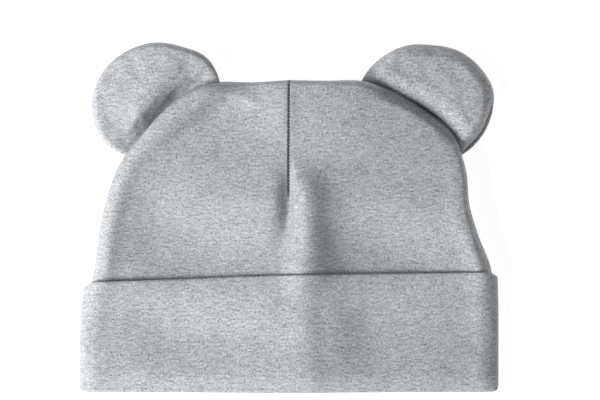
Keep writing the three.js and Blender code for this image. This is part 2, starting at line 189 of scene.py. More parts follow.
def edgePoint(side, place):
    # where the outline runs at a place between its rows; side is -1 on the left and 1 on the right
    out = np.where(side < 0, along(outline["leftOut"], place), along(outline["rightOut"], place))
    up = np.where(side < 0, along(outline["leftUp"], place), along(outline["rightUp"], place))
    return np.stack([side * out * halfWidth, up * crownHeight], -1)


def inward(side, place):
    # the way in from the outline, square to it
    step = 0.05
    ahead = edgePoint(side, np.minimum(place + step, apex))
    tangent = ahead - edgePoint(side, np.maximum(place - step, 0))
    tangent[..., 1] = np.where(place > apex - step, 0, tangent[..., 1])
    return unit(np.stack([-side * tangent[..., 1], side * tangent[..., 0]], -1))


def atEar(place):
    # how much of the seam's roll there is along the outline
    share = np.clip((place - earPlaces[0]) / (earPlaces[1] - earPlaces[0]), 0, 1)
    return np.sin(np.pi * share) ** cloth["rollEnds"]


# the cuff's free edge on the front: its height across the hat, as a share of cuffHeight
cuffEdge = {
    "across": [-1.03, -0.97, -0.6, -0.2, 0.1, 0.6, 0.97, 1.03],
    "up": [0.86, 0.935, 0.955, 0.985, 1.0, 1.008, 1.015, 0.95],
}


def cuffEdgeAt(x):
    return np.interp(x / halfWidth, cuffEdge["across"], cuffEdge["up"]) * cloth["cuffHeight"]


dart = {
    "length": 49 * mm,
    "lean": 0.3 * mm,  # how far right of the middle it lies at the top edge
    "widths": (0.5 * mm, 0.2 * mm),  # to the left and right of its line
    "depth": 1.5 * mm,
    "lip": 0.2 * mm,  # the right side stands higher
    "lipWidth": 2.2 * mm,
    "fade": 2.5 * mm,  # the length over which it fades out, to either side of its lower end
    "markWidth": 0.42 * mm,  # of the painted shade in its fold
    "markShift": 0.1 * mm,
    "markAbove": 7 * mm,  # the back lies below this
}


def dartLine(up):
    # how far right of the middle the dart lies, this far above its low end
    return dart["lean"] * np.clip(up / dart["length"], 0, 1)


bottomFold = {"droop": 3.2 * mm, "reach": 9 * mm}  # how the front hangs down to the bottom fold


def relief(x, y):
    # what the folds, the dart and the bottom fold's droop add to the front's height
    height = np.zeros_like(x)
    for fold in folds:
        start = np.array([fold["from"][0] * halfWidth, fold["from"][1] * crownHeight])
        line = np.array([fold["to"][0] * halfWidth, fold["to"][1] * crownHeight]) - start
        length = np.linalg.norm(line)
        line = line / length
        dx, dy = x - start[0], y - start[1]
        reach = dx * line[0] + dy * line[1]
        aside = dx * abs(line[1]) - dy * line[0] * np.sign(line[1])
        width = np.where(aside < 0, fold["widths"][0], fold["widths"][1]) * halfWidth
        fade = fold.get("fade", foldFade) * crownHeight
        ends = smoothstep(-fade, fade, reach) * smoothstep(-fade, fade, length - reach)
        height += fold["height"] * cloth["crownLoft"] * ends * bell(aside, width)
    upDart = y - (crownHeight - dart["length"])
    there = smoothstep(-dart["fade"], dart["fade"], upDart)
    aside = x - dartLine(upDart)
    groove = np.where(aside < 0, dart["widths"][0], dart["widths"][1])
    height -= dart["depth"] * there * bell(aside, groove)
    height += dart["lip"] * there * bell(aside - dart["lipWidth"] / 2, dart["lipWidth"]) * (aside > 0)
    return height - bottomFold["droop"] * np.clip(1 - y / bottomFold["reach"], 0, 1) ** 2


def skinPoint(side, front, place, run):
    # A point of the crown's skin, run metres in from the outline along the line across the cloth.
    edge = edgePoint(side, place)
    middle = np.stack([np.zeros_like(place), along(outline["spine"], place) * crownHeight], -1)
    across = middle - edge
    length = np.linalg.norm(across, axis=-1)
    into = inward(side, place)
    squareness = np.sum(across * into, -1) / length
    share = run / length
    x = edge[..., 0] + across[..., 0] * share
    y = edge[..., 1] + across[..., 1] * share
    inFromEdge = run * squareness
    aboveCuff = y - np.maximum(cloth["cuffHeight"], cuffEdgeAt(x))
    freed = smoothstep(cloth["swellStart"], cloth["swellStart"] + cloth["backDrop"], aboveCuff)
    edgeZ = mix(cloth["cuffEdgeHeight"], cloth["crownEdgeHeight"], freed)
    edgeZ = edgeZ - np.where(side > 0, cloth["rightDrop"], cloth["leftDrop"]) * atEar(place)

    raised = (cloth["wall"] + cloth["clearance"]) * (1 - freed)
    backZ = mix(edgeZ, raised, rounded(inFromEdge, cloth["backRounding"]))

    pressed = cloth["clearance"] + 3 * cloth["wall"] + cloth["mouthRoom"]
    risen = smoothstep(cloth["swellStart"], cloth["swellStart"] + cloth["frontRise"], aboveCuff)
    level = mix(pressed, cloth["crownLoft"] * along(outline["loft"], place), risen)
    rolled = np.where(side < 0, along(outline["leftRoll"], place), along(outline["rightRoll"], place))
    rolled = rolled * bell(inFromEdge - cloth["rollPlace"], cloth["rollWidth"]) * cloth["crownLoft"]
    dome = 1 - along(outline["sideFall"], place) * (1 - np.minimum(share, 1)) ** cloth["fallPower"]
    top = level * dome + relief(x, y) + rolled
    shoulder = np.where(side > 0, cloth["rightShoulderShare"] * atEar(place) ** cloth["shoulderEnds"], 0)
    slope = smoothstep(0, cloth["rightShoulder"], inFromEdge)
    turn = np.where(side < 0, along(outline["leftTurn"], place), along(outline["rightTurn"], place))
    turned = rounded(inFromEdge, cloth["frontRounding"] * turn)
    frontZ = mix(edgeZ, top, mix(turned, slope, shoulder))
    reach = inFromEdge / cloth["crownRollReach"]
    roll = np.where(side < 0, cloth["crownRoll"] * atEar(place), 0) * (reach * np.exp(1 - reach)) ** 2
    roll = np.where(front, roll, 0)
    z = np.where(front, frontZ, backZ)
    return np.stack([x - into[..., 0] * roll, y - into[..., 1] * roll, z], -1)


# How closely the grid's columns lie: as turns near the outline, then in steps in from it, evenly
# over what is left, and in steps out from the middle, which are close at the dart. In millimetres.
columnSteps = {
    "front": {
        "turns": 11, "afterTurns": [9.2, 10.6], "even": 62,
        "centre": [4, 3.2, 2.6, 2.1, 1.7, 1.4, 1.15, 0.95, 0.8, 0.65, 0.52, 0.4, 0.28, 0.15, 0],
    },
    "back": {"turns": 7, "afterTurns": [9.5], "even": 22, "centre": [3, 0]},
}
turnsReach = 1.1 * cloth["frontRounding"]


def runSteps(front):
    # steps in from the outline, shares of what is left, and steps out from the middle
    steps = columnSteps["front" if front else "back"]
    turns = np.linspace(0, math.pi / 2, steps["turns"])
    edge = list(turnsReach * (1 - np.cos(turns)))
    edge += [step * mm for step in steps["afterTurns"]]
    middle = list(np.arange(1, steps["even"]) / steps["even"])
    return edge, middle, [step * mm for step in steps["centre"]]


def runsFor(front, length):
    # the runs of every grid column, for lines of these lengths
    edge, middle, centre = runSteps(front)
    left = length - edge[-1] - centre[0]
    parts = [np.full_like(length, e) for e in edge]
    parts += [edge[-1] + m * left for m in middle]
    parts += [length - c for c in centre]
    return np.stack(parts, -1)


def lineLength(side, place):
    edge = edgePoint(side, place)
    return np.hypot(edge[..., 0], edge[..., 1] - along(outline["spine"], place) * crownHeight)


lining = (1.0, 0)  # how far a piece's inner layer lies from its outer one in the flat pattern


def arcs(points):
    # distance along each row of a grid of points
    steps = np.linalg.norm(np.diff(points, axis=-2), axis=-1)
    return np.concatenate([np.zeros(steps.shape[:-1] + (1,)), np.cumsum(steps, -1)], -1)


def placed(name, data):
    obj = bpy.data.objects.new(name, data)
    bpy.context.collection.objects.link(obj)
    return obj


def clothObject(name, sheets, merge=0.02 * mm):
    # Grids of points, each with its flat pattern's coordinates, as one smooth mesh object.
    vertices, flats, faces = [], [], []
    start = 0
    for points, flat, turned in sheets:
        rows, columns = points.shape[:2]
        index = np.arange(rows * columns).reshape(rows, columns) + start
        a, b, c, d = index[:-1, :-1], index[1:, :-1], index[1:, 1:], index[:-1, 1:]
        corners = (d, c, b, a) if turned else (a, b, c, d)
        faces.append(np.stack([q.ravel() for q in corners], -1))
        vertices.append(points.reshape(-1, 3))
        flats.append(flat.reshape(-1, 2))
        start += rows * columns
    vertices = np.concatenate(vertices) + [0, mouthY, 0]
    faces = np.concatenate(faces)
    mesh = bpy.data.meshes.new(name)
    mesh.from_pydata(vertices.tolist(), [], faces.tolist())
    uv = mesh.uv_layers.new(name="flat")
    uv.data.foreach_set("uv", np.concatenate(flats)[faces.ravel()].ravel())
    editing = bmesh.new()
    editing.from_mesh(mesh)
    bmesh.ops.remove_doubles(editing, verts=editing.verts, dist=merge)
    bmesh.ops.dissolve_degenerate(editing, edges=editing.edges, dist=merge / 2)
    editing.to_mesh(mesh)
    editing.free()
    mesh.polygons.foreach_set("use_smooth", [True] * len(mesh.polygons))
    return placed(name, mesh)


def applied(obj):
    # the object with its modifiers made part of its mesh
    graph = bpy.context.evaluated_depsgraph_get()
    made = bpy.data.meshes.new_from_object(obj.evaluated_get(graph), depsgraph=graph)
    obj.modifiers.clear()
    old, obj.data = obj.data, made
    bpy.data.meshes.remove(old)
    return obj


def writePaintedShade(obj, values):
    # how much painted shade each vertex gets, from 0 to 1, for the jersey's material
    paintedShade = obj.data.attributes.new("paintedShade", "FLOAT", "POINT")
    paintedShade.data.foreach_set("value", values)


# The crown
crownGrid = {
    "firstPlace": (cloth["seamHeight"] + cloth["clearance"] / 2) / (evenRow * crownHeight),
    "rowsPerPlace": 11,
    "nearApex": [0.72, 0.5, 0.36, 0.26, 0.18, 0.13, 0.09, 0.06, 0.04, 0.02, 0],  # before the apex
}


def crownPlaces():
    # the places of the crown's rows, from the seam inside the cuff to the middle of the top edge
    first, per = crownGrid["firstPlace"], crownGrid["rowsPerPlace"]
    places = list(np.linspace(first, apex - 1, int((apex - 1 - first) * per)))
    return np.array(places + [apex - step for step in crownGrid["nearApex"]])


def makeCrown():
    places = crownPlaces()
    sheets = []
    reach = {}
    for front in (True, False):
        for side in (-1, 1):
            runs = runsFor(front, lineLength(side, places))
            grid = np.broadcast_to(places[:, None], runs.shape)
            points = skinPoint(side, front, grid, runs)
            middle = np.stack([0 * places, along(outline["spine"], places) * crownHeight], -1)
            outward = unit(edgePoint(side, places) - middle)
            fromEdge = arcs(points)
            if front:
                reach[side] = fromEdge[:, -1]
                distance = reach[side][:, None] - fromEdge
            else:
                distance = reach[side][:, None] + fromEdge
            flat = middle[:, None] + outward[:, None] * distance[..., None]
            sheets.append((points, flat, front == (side < 0)))
    obj = clothObject("crown_jersey", sheets)
    wall = obj.modifiers.new("wall", "SOLIDIFY")
    wall.thickness = cloth["wall"]
    wall.offset = -1
    return applied(obj)


def paintDartShade(crown):
    # painted shade along the dart's fold
    mesh = crown.data
    places = np.empty(len(mesh.vertices) * 3)
    mesh.vertices.foreach_get("co", places)
    x, y, z = places.reshape(-1, 3).T
    up = y - mouthY - crownHeight + dart["length"]
    there = smoothstep(-dart["fade"], dart["fade"], up) * (z > dart["markAbove"])
    writePaintedShade(crown, there * bell(x - dartLine(up) + dart["markShift"], dart["markWidth"]))


# The small stitches that close the dart
stitches = {
    "every": 1.35 * mm,
    "size": (0.52 * mm, 0.15 * mm, 0.13 * mm),  # half its length, width and height
    "sink": 0.45 * mm,  # how far below the cloth beside it a stitch lies
    "beside": (-1.2 * mm, 1.0 * mm),  # where the cloth's height is felt on either side
    "feltFrom": 0.1,  # above the hat
    "turn": 0.3,
    "seed": 7,
    "colour": (0.44, 0.455, 0.475),
}


def makeStitches(crown):
    count = int(dart["length"] / stitches["every"])
    up = (np.arange(count) + 0.5) * dart["length"] / count
    places = zip(dartLine(up), up + crownHeight - dart["length"] + mouthY)
    felt = crown.evaluated_get(bpy.context.evaluated_depsgraph_get())
    down = Vector((0, 0, -1))
    points = []
    for x, y in places:
        starts = [Vector((x + beside, y, stitches["feltFrom"])) for beside in stitches["beside"]]
        lowest = min(felt.ray_cast(start, down)[1].z for start in starts)
        points.append((x, y, lowest - stitches["sink"]))
    mesh = bpy.data.meshes.new("dart_stitches")
    mesh.from_pydata(points, [], [])
    obj = placed("dart_stitches", mesh)

    material, look = newMaterial("stitch_thread")
    surface = look.add("ShaderNodeBsdfPrincipled", inputs={
        "Base Color": (*stitches["colour"], 1), "Roughness": 0.85, "Specular IOR Level": 0.2})
    look.add("ShaderNodeOutputMaterial", inputs={"Surface": surface})

    nodes = bpy.data.node_groups.new("stitches", "GeometryNodeTree")
    nodes.interface.new_socket("Geometry", in_out="INPUT", socket_type="NodeSocketGeometry")
    nodes.interface.new_socket("Geometry", in_out="OUTPUT", socket_type="NodeSocketGeometry")
    tree = Tree(nodes)
    entry = tree.add("NodeGroupInput")
    ball = tree.add("GeometryNodeMeshUVSphere", inputs={"Segments": 10, "Rings": 6, "Radius": 1.0})
    thread = tree.add("GeometryNodeTransform", inputs={0: ball, "Scale": stitches["size"]})
    turn = tree.add("FunctionNodeRandomValue", {"data_type": "FLOAT_VECTOR"}, {
        0: (0, 0, -stitches["turn"]), 1: (0, 0, stitches["turn"]), "Seed": stitches["seed"]})
    sewn = tree.add("GeometryNodeInstanceOnPoints", inputs={
        "Points": entry, "Instance": thread, "Rotation": turn})
    real = tree.add("GeometryNodeRealizeInstances", inputs={0: sewn})
    smooth = tree.add("GeometryNodeSetShadeSmooth", inputs={0: real})
    made = tree.add("GeometryNodeSetMaterial", inputs={0: smooth, "Material": material})
    tree.add("NodeGroupOutput", inputs={0: made})
    obj.modifiers.new("stitches", "NODES").node_group = nodes
    return applied(obj)


# The cuff: sewn to the crown inside, folded at the bottom and turned up round the outside
cuffForm = {
    "edgeRounding": 0.9 * mm,
    "lift": 0.7 * mm,  # how far the free edge stands off the crown at the left
    "liftPlace": -0.8,  # as a share of halfWidth
    "liftWidth": 0.28,
    "liftReach": 9 * mm,  # how far down from the free edge
    "backShare": 0.98,  # the cuff's height on the back, as a share of cuffHeight
    "backCorner": 0.7,  # the share of halfWidth at which the back's edge leaves that height
    "edgeRows": 5,
    "rows": 46,
    "foldRows": 12,
    "insideRows": 22,
    "flatRow": 20,  # the row and the column along which the flat pattern is measured
    "flatColumn": 10,
    "frontAbove": 5 * mm,  # at that row the front lies above this
}


def skinLoop():
    # The columns round the hat: side, front and the run's index, from the left edge over the front.
    columns = []
    anyLength = np.array([halfWidth])  # each line has the same count of columns
    for side, front, turned in ((-1, True, False), (1, True, True), (1, False, False), (-1, False, True)):
        order = list(range(len(runsFor(front, anyLength)[0])))
        columns += [(side, front, index) for index in (order[:0:-1] if turned else order[:-1])]
    return columns


def loopPoints(columns, heights):
    # the skin at each column's own height
    side = np.array([c[0] for c in columns])
    front = np.array([c[1] for c in columns])
    index = np.array([c[2] for c in columns])
    place = heights / (evenRow * crownHeight)
    length = lineLength(side, place)
    runs = np.empty_like(heights)
    for face in (True, False):
        table = runsFor(face, length)
        chosen = np.minimum(index, table.shape[-1] - 1)
        picked = np.take_along_axis(table, np.broadcast_to(chosen, heights.shape)[..., None], -1)[..., 0]
        runs = np.where(front == face, picked, runs)
    return skinPoint(np.broadcast_to(side, place.shape), np.broadcast_to(front, place.shape), place, runs)


def makeCuff():
    columns = skinLoop()
    foldRadius = cloth["clearance"] / 2 + cloth["wall"]
    bare = loopPoints(columns, np.full((1, len(columns)), foldRadius))[0]
    front = np.array([c[1] for c in columns])
    end = cuffEdge["across"][-1]
    corner = cuffEdgeAt(np.sign(bare[:, 0]) * end * halfWidth)
    fromCorner = smoothstep(end, cuffForm["backCorner"], np.abs(bare[:, 0]) / halfWidth)
    backTop = mix(corner, cuffForm["backShare"] * cloth["cuffHeight"], fromCorner)
    top = np.where(front, cuffEdgeAt(bare[:, 0]), backTop)
    rounding = cuffForm["edgeRounding"]

    # rows from the free edge down the outside, round the fold and up the inside
    sewn = cloth["seamHeight"] - cloth["clearance"] / 2
    rows = []
    for turn in np.linspace(0, math.pi / 2, cuffForm["edgeRows"]):
        height = top - rounding + rounding * np.cos(turn)
        rows.append((height, foldRadius - rounding + rounding * np.sin(turn), 0))
    for share in np.linspace(0, 1, cuffForm["rows"])[1:]:
        rows.append((mix(top - rounding, foldRadius, share), foldRadius, 0))
    for turn in np.linspace(0, math.pi, cuffForm["foldRows"])[1:]:
        rows.append((foldRadius, foldRadius, turn))
    for share in np.linspace(0, 1, cuffForm["insideRows"])[1:]:
        rows.append((mix(foldRadius, sewn, share), foldRadius, math.pi))

    heights = np.array([np.broadcast_to(height, top.shape) for height, _, _ in rows])
    radii = np.array([radius for _, radius, _ in rows])[:, None]
    turns = np.array([turn for _, _, turn in rows])[:, None]
    skin = loopPoints(columns, heights)
    ahead = loopPoints(columns[1:] + columns[:1], heights)
    behind = loopPoints(columns[-1:] + columns[:-1], heights)
    tangent = ahead - behind
    normal = unit(np.stack([-tangent[..., 2], 0 * tangent[..., 0], tangent[..., 0]], -1))

    nearEdge = smoothstep(cuffForm["liftReach"], 0, top - heights) * (turns == 0)
    across = skin[..., 0] / halfWidth
    lift = cuffForm["lift"] * nearEdge * bell(across - cuffForm["liftPlace"], cuffForm["liftWidth"])
    lift = np.where(front, lift, 0)

    def face(radius):
        out = (cloth["clearance"] / 2 + np.cos(turns) * radius + lift)[..., None] * normal
        points = skin + out
        points[..., 1] = heights - np.sin(turns) * radius
        return np.concatenate([points, points[:, :1]], 1)

    outer, inner = face(radii), face(0 * radii + cloth["clearance"] / 2)
    row = outer[cuffForm["flatRow"]]
    around = arcs(row)
    centre = around[np.argmin(np.abs(row[:, 0]) + (row[:, 2] < cuffForm["frontAbove"]))]
    down = arcs(outer[:, cuffForm["flatColumn"]])
    flat = np.stack(np.broadcast_arrays(around[None] - centre, cloth["cuffHeight"] - down[:, None]), -1)
    freeEdge = np.stack([outer[0], inner[0]])
    sewnEdge = np.stack([outer[-1], inner[-1]])
    sheets = [
        (outer, flat, False),
        (inner, flat + lining, True),
        (freeEdge, np.stack([flat[0], flat[0]]), True),
        (sewnEdge, np.stack([flat[-1], flat[-1]]), False),
    ]
    return clothObject("cuff_jersey", sheets)


# The ears: two layers sewn round the rim, turned, and caught in the crown's seam
earForm = {
    "diameter": 56 * mm,
    "seamThickness": 1.6 * mm,
    "rimThickness": 1.0 * mm,
    "seamRounding": 9 * mm,
    "hubShift": 0.4,  # from the rim's centre outwards, as a share of the radius
    "crowding": 1.5,  # above 1 the rings lie closer at the rim
    "endFade": 6,  # more lets the rim's own radii take over sooner past the seam's ends
    "thinFrom": 0.7,  # the share of an ear's reach along tiltWay from which it thins
    "seamReach": 0.6,  # how far out the seam holds the ear, as a share of the radius
    "dipReach": 8.5 * mm,
    "tuck": 0.8 * mm,  # how far the base runs into the crown's seam
    "reliefStep": 2.5 * mm,  # how far apart the rows of an ear's relief lie, going out from its seam
    "tiltWay": (0.9, 0.43),  # the way in which a tilted ear rises
    "overhangReach": 2.4 * mm,  # where the swell leans over the seam the furthest
    "peekReach": 4 * mm,  # how far in from the rim the front layer is drawn back
    "peekFrom": (0, 0.06),  # where the peeking comes in, as shares of the rim from its low end
    "peekTo": (0.2, 0.36),  # and where it goes again
    "peekShade": 0.4 * mm,  # the width of the painted shade between the two layers
    "seamSteps": 64,
    "rimSteps": 120,
    "rings": 40,
}
ears = {
    # Thin is the share of its thickness that an ear keeps on the side to which it rises, and dip
    # is how much lower it lies at the low end of its seam. The seam's heights go from its low end
    # to its high end, and so does swell, the share of the relief there. The relief goes from the
    # seam outwards and is what the upper layer adds to the padded height. It and the seam's
    # heights are in millimetres.
    "left": {
        "side": -1, "rise": 7.2 * mm, "slide": 2.3 * mm, "reliefEnds": 8 * mm,
        "thickness": 6.2 * mm, "rimRounding": 2.9 * mm,
        "tilt": 0.21, "thin": 0.75, "overhang": 0, "peek": 0, "dip": 2.8 * mm,
        "seamHeights": [4, 3.2, 2.5, 2, 2, 2.2, 3, 4.4, 6.4, 8.4, 9.6],
        "rim": [0.9, 1.02, 1.055, 1.066, 1.056, 1.032, 1.028, 1.026, 1.088, 1.043],
        "relief": [-2, -2.7, 0.2, 2.6, 2.9, 2.4, 1.8, 1.3, 0.9, 0.6, 0.4, 0.2, 0.1, 0, 0],
        "swell": [0, 0, 0.42, 0.9, 1.05, 1.1, 1, 0.75, 0.45, 0.2, 0],
    },
    "right": {
        "side": 1, "rise": 7.9 * mm, "slide": 4 * mm, "reliefEnds": 6 * mm,
        "thickness": 4.4 * mm, "rimRounding": 2.7 * mm,
        "tilt": 0.115, "thin": 1, "overhang": 2.2 * mm, "peek": 1.5 * mm, "dip": 0,
        "seamHeights": [3] * 11,
        "rim": [0.87, 0.91, 0.965, 1.036, 1.026, 1.022, 1.008, 1.068, 1.12, 1.17],
        "relief": [0, 3.7, 5.8, 6.1, 5.6, 4.9, 4.2, 3.6, 3.1, 2.7, 2.3, 1.9, 1.5, 1.1, 0.7, 0.4, 0.1, 0, 0],
        "swell": [1] * 11,
    },
}


def distanceTo(points, line):
    # each point's distance to a line of short straight stretches, and how far along the line it is
    best = np.full(points.shape[:-1], np.inf)
    place = np.zeros(points.shape[:-1])
    for i, (a, b) in enumerate(zip(line[:-1], line[1:])):
        way = b - a
        share = np.clip((points - a) @ way / max(way @ way, 1e-16), 0, 1)
        distance = np.linalg.norm(points - a - share[..., None] * way, axis=-1)
        place = np.where(distance < best, (i + share) / (len(line) - 1), place)
        best = np.minimum(best, distance)
    return best, place


def searchTree(points):
    tree = KDTree(len(points))
    for index, point in enumerate(points):
        tree.insert(point, index)
    tree.balance()
    return tree


def paintPeekShade(obj, border, peeking):
    # painted shade between the ear's two layers, where the back one shows past the front one
    tree = searchTree(border)
    shades = []
    for vertex in obj.data.vertices:
        _, index, distance = tree.find(vertex.co)
        shades.append(min(1, peeking[index] / mm) * bell(distance, earForm["peekShade"]))
    writePaintedShade(obj, shades)


def earBorder(ear):
    # the seam from its low end to its high end, the free rim, and the hub of the grid's rings
    side = ear["side"]
    radius = earForm["diameter"] / 2
    places = np.linspace(*earPlaces, earForm["seamSteps"])
    seam = edgePoint(side, places) + inward(side, places) * earForm["tuck"]
    low, high = seam[0], seam[-1]
    chord = unit(high - low)
    outward = np.array([side * chord[1], -side * chord[0]])
    centre = (low + high) / 2 + outward * ear["rise"] - chord * ear["slide"]

    lowArm, highArm = low - centre, high - centre
    lowAngle = math.atan2(lowArm[1], lowArm[0])
    sweep = (side * (math.atan2(highArm[1], highArm[0]) - lowAngle)) % (2 * math.pi)
    share = np.linspace(0, 1, earForm["rimSteps"])[1:-1]
    angle = lowAngle + side * share * sweep
    far = along(ear["rim"], share * (len(ear["rim"]) - 1)) * radius
    far += (np.linalg.norm(lowArm) - ear["rim"][0] * radius) * (1 - share) ** earForm["endFade"]
    far += (np.linalg.norm(highArm) - ear["rim"][-1] * radius) * share ** earForm["endFade"]
    rim = centre + np.stack([np.cos(angle), np.sin(angle)], -1) * far[:, None]
    return seam, rim, centre + outward * earForm["hubShift"] * radius


def earHeights(ear, at, seam, rim):
    # Both layers' heights, from each point's distance to the free rim and to the seam, how far the
    # upper layer leans over the seam, and those two places.
    fromRim, _ = distanceTo(at, np.concatenate([seam[:1], rim, seam[-1:]]))
    fromSeam, seamPlace = distanceTo(at, seam)
    rimShare = rounded(fromRim, ear["rimRounding"])
    seamShare = rounded(fromSeam, earForm["seamRounding"])
    away = at @ earForm["tiltWay"]
    thin = mix(1, ear["thin"], smoothstep(earForm["thinFrom"], 1, (away - away.min()) / np.ptp(away)))
    full = ear["thickness"] * rimShare * seamShare * thin
    base = np.concatenate([np.ones(len(seam)), np.zeros(len(rim))])
    thickness = np.maximum(full, mix(earForm["rimThickness"], earForm["seamThickness"], base))
    lying = thickness / 2 + ear["tilt"] * (away - away.min())
    held = 1 - smoothstep(0, earForm["seamReach"] * earForm["diameter"] / 2, fromSeam)
    seamHeight = along(ear["seamHeights"], seamPlace * (len(ear["seamHeights"]) - 1)) * mm
    middle = mix(lying, np.maximum(thickness / 2, seamHeight), held)
    middle -= ear["dip"] * bell(np.linalg.norm(at - seam[0], axis=-1), earForm["dipReach"])
    within = smoothstep(0, ear["reliefEnds"], fromRim)
    raised = along(ear["relief"], np.minimum(fromSeam / earForm["reliefStep"], len(ear["relief"]) - 1))
    raised = raised * along(ear["swell"], seamPlace * (len(ear["swell"]) - 1))
    upper = middle + thickness / 2 + raised * mm * within
    nearness = fromSeam / earForm["overhangReach"]
    over = ear["overhang"] * (nearness * np.exp(1 - nearness)) ** 2
    over = over * np.sqrt(np.maximum(np.sin(np.pi * seamPlace), 0)) * within
    return upper, middle - thickness / 2, over, fromRim, seamPlace


def makeEar(name):
    ear = ears[name]
    seam, rim, hub = earBorder(ear)
    border = np.concatenate([seam, rim[::-1]])
    rings = 1 - (1 - np.linspace(0, 1, earForm["rings"])) ** earForm["crowding"]
    at = hub + (border[None] - hub) * rings[:, None, None]
    upper, lower, over, fromRim, seamPlace = earHeights(ear, at, seam, rim)
    over = inward(ear["side"], mix(*earPlaces, seamPlace)) * over[..., None]

    # at the low end of the rim the back layer shows past the front one
    share = np.linspace(0, 1, earForm["rimSteps"])[1:-1]
    begun, ended = smoothstep(*earForm["peekFrom"], share), smoothstep(*earForm["peekTo"], share)
    peeking = begun * (1 - ended) * ear["peek"]
    peeking = np.concatenate([np.zeros(len(seam)), peeking[::-1]])
    back = (border - hub) * (peeking / np.linalg.norm(border - hub, axis=-1))[:, None]
    back = back * np.clip(1 - fromRim / earForm["peekReach"], 0, 1)[..., None]
    top = np.concatenate([at + over - back, upper[..., None]], -1)
    bottom = np.concatenate([at, lower[..., None]], -1)

    sheets = []
    turn = ear["side"] > 0
    for layer, turned, shift in ((top, turn, (0, 0)), (bottom, not turn, lining)):
        layer = np.concatenate([layer, layer[:, :1]], 1)
        spokes = arcs(layer.transpose(1, 0, 2)).T
        way = unit(np.concatenate([border, border[:1]]) - hub)
        flat = hub + way[None] * spokes[..., None] + shift
        sheets.append((layer, flat, turned))
    topLayer, bottomLayer = sheets[0][0], sheets[1][0]
    edgeFlat = sheets[0][1][-1]
    sheets.append((np.stack([topLayer[-1], bottomLayer[-1]]), np.stack([edgeFlat, edgeFlat]), turn))
    obj = clothObject("ear_" + name + "_jersey", sheets, merge=0.01 * mm)
    paintPeekShade(obj, top[-1] + [0, mouthY, 0], peeking)
    plump(obj, np.concatenate([border, border[:1]]))
    return obj


# A short run of Blender's cloth swells the ears a little, so that their padding looks soft
swelling = {
    "voxel": 2.6 * mm,  # of the coarse copy that is simulated
    "quality": 8,
    "pressure": 2.2,
    "vertexMass": 0.0004,
    "stiffness": 4.0,
    "bending": 0.02,
    "shrink": -0.014,
    "frames": 14,
    "most": 0.5 * mm,  # how far a vertex may move
    "heldWithin": 2.5 * mm,  # how near to the border the cloth is held
    "neighbours": 6,  # whose moves a vertex of the fine mesh takes over
    "nearest": 0.65 * mm,  # nearer ones count no more than at this distance
}


def plump(obj, border):
    coarse = placed("swelling", obj.data.copy())
    remesh = coarse.modifiers.new("remesh", "REMESH")
    remesh.mode, remesh.voxel_size = "VOXEL", swelling["voxel"]
    applied(coarse)
    start = np.array([v.co for v in coarse.data.vertices])
    border = border + [0, mouthY]
    fromBorder, _ = distanceTo(start[:, :2], border)
    holds = 1 - smoothstep(swelling["heldWithin"] / 2, swelling["heldWithin"], fromBorder)
    held = coarse.vertex_groups.new(name="held")
    for index, hold in enumerate(holds):
        held.add([index], float(hold), "REPLACE")

    bending = coarse.modifiers.new("cloth", "CLOTH")
    form = bending.settings
    form.quality, form.mass = swelling["quality"], swelling["vertexMass"]
    form.tension_stiffness = form.compression_stiffness = form.shear_stiffness = swelling["stiffness"]
    form.bending_stiffness = swelling["bending"]
    form.use_pressure, form.uniform_pressure_force = True, swelling["pressure"]
    form.shrink_min = swelling["shrink"]
    form.vertex_group_mass = "held"
    form.effector_weights.gravity = 0
    bending.collision_settings.use_collision = False
    bending.point_cache.frame_end = swelling["frames"]
    for frameNumber in range(1, swelling["frames"] + 1):
        bpy.context.scene.frame_set(frameNumber)
    applied(coarse)
    bpy.context.scene.frame_set(1)
    moved = np.array([v.co for v in coarse.data.vertices]) - start
    lengths = np.maximum(np.linalg.norm(moved, axis=1, keepdims=True), 1e-9)
    moved *= np.minimum(1, swelling["most"] / lengths)

    tree = searchTree(start)
    for vertex in obj.data.vertices:
        near = tree.find_n(vertex.co, swelling["neighbours"])
        weights = np.array([1 / (distance + swelling["nearest"]) ** 2 for _, _, distance in near])
        shift = (moved[[index for _, index, _ in near]] * weights[:, None]).sum(0) / weights.sum()
        vertex.co += Vector(shift)
        vertex.co.z = max(vertex.co.z, 0)  # the table is there
    bpy.data.objects.remove(coarse)


# Materials
class Wire:
    # one socket of a material, with the arithmetic that the patterns use
    def __init__(self, tree, socket):
        self.tree, self.socket = tree, socket

    def op(self, operation, *others, first=None):
        values = [self if first is None else first, *others]
        return self.tree.add("ShaderNodeMath", {"operation": operation}, dict(enumerate(values)))

    def __add__(self, other):
        return self.op("ADD", other)

    def __sub__(self, other):
        return self.op("SUBTRACT", other)

    def __rsub__(self, other):
        return self.op("SUBTRACT", self, first=other)

    def __mul__(self, other):
        return self.op("MULTIPLY", other)

    def __abs__(self):
        return self.op("ABSOLUTE")

    __radd__, __rmul__ = __add__, __mul__


class Tree:
    # the nodes of a material or of a geometry group
    def __init__(self, tree):
        self.nodes, self.links = tree.nodes, tree.links
        self.nodes.clear()

    def add(self, kind, settings=None, inputs=None, output=0):
        # a node of any kind: its settings first, then the values or wires of its inputs
        node = self.nodes.new(kind)
        for key, value in (settings or {}).items():
            setattr(node, key, value)
        for key, value in (inputs or {}).items():
            if isinstance(value, Wire):
                self.links.new(value.socket, node.inputs[key])
            else:
                node.inputs[key].default_value = value
        return Wire(self, node.outputs[output]) if node.outputs else None


def newMaterial(name):
    material = bpy.data.materials.new(name)
    material.use_nodes = True
    return material, Tree(material.node_tree)


